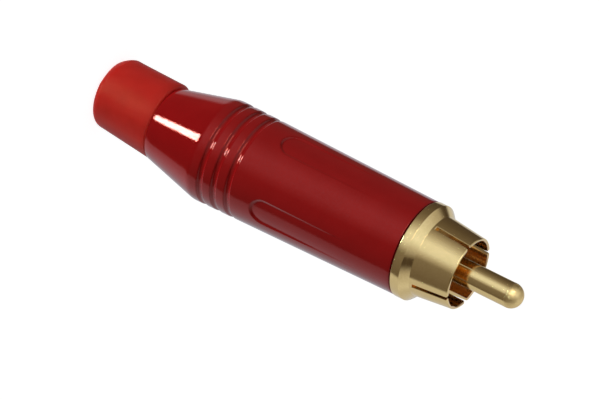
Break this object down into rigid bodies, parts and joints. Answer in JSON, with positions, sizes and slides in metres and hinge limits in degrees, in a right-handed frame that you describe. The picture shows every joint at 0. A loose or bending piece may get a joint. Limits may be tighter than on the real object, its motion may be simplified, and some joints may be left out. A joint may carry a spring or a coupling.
{
  "type": "rca plug",
  "caption": "Phono cable plug: red lacquered metal shell with grooves and flutes, soft red boot, gold-plated flange, slotted ground sleeve and round-ended pin.",
  "frame": {"origin": "centre of the plug's axis at the boot's rear face, which it stands on", "axes": "+Z along the plug's axis, from the boot to the pin; the viewer of the picture looks from -Y"},
  "size_m": [0.0134, 0.0134, 0.0607],
  "materials": {
    "red_lacquer": "gloss lacquer on die-cast zinc",
    "red_boot": "matte soft moulding",
    "black_plastic": "moulded nylon",
    "grey_plastic": "smooth tube",
    "gold_plate": "satin gold plate on turned brass",
    "white_plastic": "turned acetal",
    "plated_steel": "plated spring steel"
  },
  "bodies": {
    "shell": {"shell": "red_lacquer", "rear_boot": "red_boot"},
    "chuck": {"cable_chuck": "black_plastic"},
    "inner_sleeve": {"insulating_sleeve": "grey_plastic"},
    "insert": {"ground_body": "gold_plate", "centre_pin": "gold_plate", "front_insulator": "white_plastic", "rear_insulator": "white_plastic", "pin_washer": "plated_steel", "ground_lug": "gold_plate"}
  },
  "joints": [
    {"name": "chuck_lift", "type": "slide", "parent": "shell", "child": "chuck", "axis": [0, 0, 1], "range_m": [0, 0.036]},
    {"name": "thread_travel", "type": "slide", "parent": "chuck", "child": "inner_sleeve", "axis": [0, 0, 1], "range_m": [0, 0.00525]},
    {"name": "insert_unscrew", "type": "hinge", "parent": "inner_sleeve", "child": "insert", "pos_m": [0, 0, 0.042], "axis": [0, 0, 1], "range_deg": [0, 2520]}
  ],
  "couplings": [
    {"joint": "thread_travel", "follows": "insert_unscrew", "m_per_rad": 0.00011937}
  ]
}
